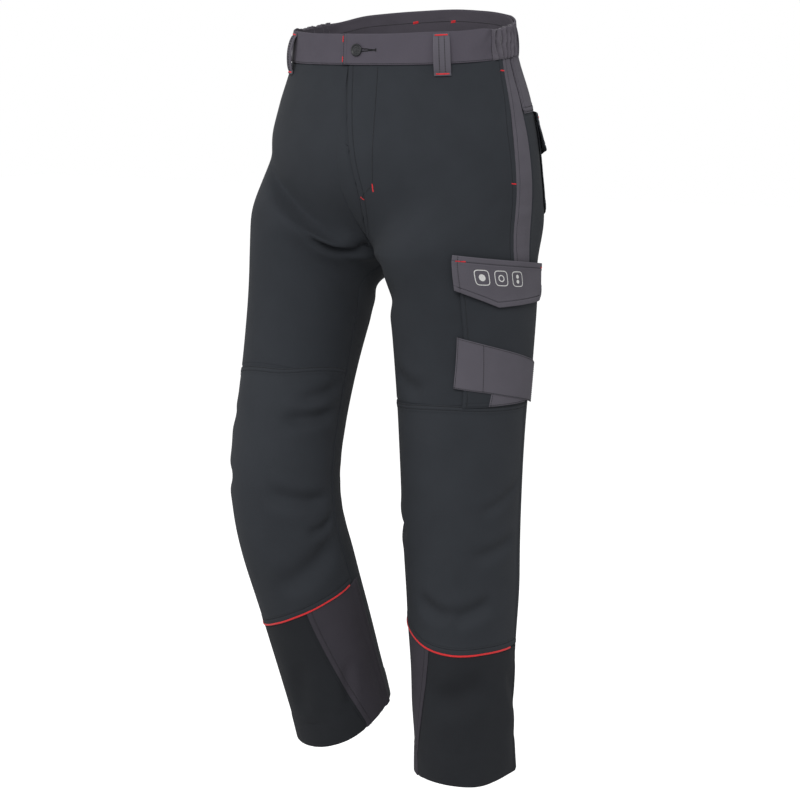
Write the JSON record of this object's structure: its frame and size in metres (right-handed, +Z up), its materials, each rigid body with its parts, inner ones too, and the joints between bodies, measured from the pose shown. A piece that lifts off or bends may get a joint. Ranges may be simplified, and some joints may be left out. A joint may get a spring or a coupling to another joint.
{
  "type": "work trousers",
  "caption": "Long flame-resistant work trousers in black and grey cloth, worn shape with one leg stepping: belt loops, fly, knee patches, red piping, flapped thigh pocket.",
  "frame": {"origin": "middle of the waist opening, level with the top edge of the waistband at the front", "axes": "+Z up out of the waist opening, -Y the wearer's front, +X the wearer's left"},
  "size_m": [0.4196, 0.3853, 1.0741],
  "materials": {
    "black_cloth": "matt twill",
    "knee_canvas": "coarse coated canvas",
    "grey_cloth": "matt twill",
    "elastic": "gathered twill over elastic",
    "lining": "plain weave",
    "red_cord": "covered cord",
    "button_plastic": "satin",
    "zip_metal": "satin",
    "tack_metal": "satin"
  },
  "bodies": {
    "hips": {"fly_placket": "black_cloth", "fly_shield": "black_cloth", "waistband_left": "grey_cloth", "waistband_right": "grey_cloth", "waistband_back": "grey_cloth", "waistband_underlap": "grey_cloth", "belt_loop_front_left": "grey_cloth", "belt_loop_side_left": "grey_cloth", "belt_loop_back_left": "grey_cloth", "belt_loop_back_centre": "grey_cloth", "belt_loop_back_right": "grey_cloth", "belt_loop_side_right": "grey_cloth", "belt_loop_front_right": "grey_cloth", "hip_front_left": "black_cloth", "seat_left": "black_cloth", "rear_pocket_left": "black_cloth", "hip_stripe_left": "grey_cloth", "yoke_left": "grey_cloth", "elastic_side_left": "elastic", "pocket_bag_left": "lining", "zip_teeth_left": "zip_metal", "zip_tape_left": "black_cloth", "hip_front_right": "black_cloth", "seat_right": "black_cloth", "rear_pocket_right": "black_cloth", "hip_stripe_right": "grey_cloth", "yoke_right": "grey_cloth", "elastic_side_right": "elastic", "pocket_bag_right": "lining", "zip_teeth_right": "zip_metal", "zip_tape_right": "black_cloth", "waistband_lining": "lining", "button_tack": "tack_metal"},
    "thigh_left": {"thigh_front_left": "black_cloth", "thigh_stripe_left": "grey_cloth", "thigh_back_left": "black_cloth", "knee_patch_upper_left": "knee_canvas", "cargo_pocket": "black_cloth", "cargo_patch": "grey_cloth"},
    "shin_left": {"knee_patch_lower_left": "knee_canvas", "calf_gusset_left": "grey_cloth", "cuff_front_left": "black_cloth", "calf_back_left": "black_cloth", "piping_left": "red_cord"},
    "rear_flap_left": {"rear_flap_left": "black_cloth"},
    "thigh_right": {"thigh_front_right": "black_cloth", "thigh_stripe_right": "grey_cloth", "thigh_back_right": "black_cloth", "knee_patch_upper_right": "knee_canvas"},
    "shin_right": {"knee_patch_lower_right": "knee_canvas", "calf_gusset_right": "grey_cloth", "cuff_front_right": "black_cloth", "calf_back_right": "black_cloth", "piping_right": "red_cord"},
    "rear_flap_right": {"rear_flap_right": "black_cloth"},
    "cargo_flap": {"cargo_flap": "grey_cloth"},
    "zip_slider": {"zip_slider": "zip_metal"},
    "zip_pull": {"zip_pull": "zip_metal"},
    "waist_button": {"waist_button": "button_plastic"}
  },
  "joints": [
    {"name": "hip_left", "type": "hinge", "parent": "hips", "child": "thigh_left", "pos_m": [0.1, 0.005, -0.215], "axis": [-1, 0, 0], "range_deg": [-15, 50]},
    {"name": "hip_right", "type": "hinge", "parent": "hips", "child": "thigh_right", "pos_m": [-0.1, 0.005, -0.215], "axis": [-1, 0, 0], "range_deg": [-34.5, 30]},
    {"name": "knee_left", "type": "hinge", "parent": "thigh_left", "child": "shin_left", "pos_m": [0.0998, 0.0007, -0.662], "axis": [1, 0, 0], "range_deg": [-2, 78]},
    {"name": "knee_right", "type": "hinge", "parent": "thigh_right", "child": "shin_right", "pos_m": [-0.1056, -0.1346, -0.638], "axis": [1, 0, 0], "range_deg": [-41, 39]},
    {"name": "cargo_flap_lift", "type": "hinge", "parent": "thigh_left", "child": "cargo_flap", "pos_m": [0.21005, -0.03446, -0.30429], "axis": [-0.0931, -0.9881, 0.1226], "range_deg": [0, 120]},
    {"name": "rear_flap_lift_left", "type": "hinge", "parent": "hips", "child": "rear_flap_left", "pos_m": [0.14765, 0.10765, -0.10666], "axis": [0.7604, -0.6489, -0.0262], "range_deg": [0, 110]},
    {"name": "rear_flap_lift_right", "type": "hinge", "parent": "hips", "child": "rear_flap_right", "pos_m": [-0.14765, 0.10765, -0.10666], "axis": [0.7604, 0.6489, 0.0262], "range_deg": [0, 110]},
    {"name": "zip_slide", "type": "slide", "parent": "hips", "child": "zip_slider", "axis": [0, -0.1288, -0.9917], "range_m": [0, 0.118]},
    {"name": "zip_pull_swing", "type": "hinge", "parent": "zip_slider", "child": "zip_pull", "pos_m": [0.022, -0.12009, -0.05545], "axis": [-1, 0, 0], "range_deg": [0, 25]},
    {"name": "waist_button_turn", "type": "hinge", "parent": "hips", "child": "waist_button", "pos_m": [0.01414, -0.12485, -0.02192], "axis": [0.0635, -0.996, 0.0627], "continuous": true}
  ]
}
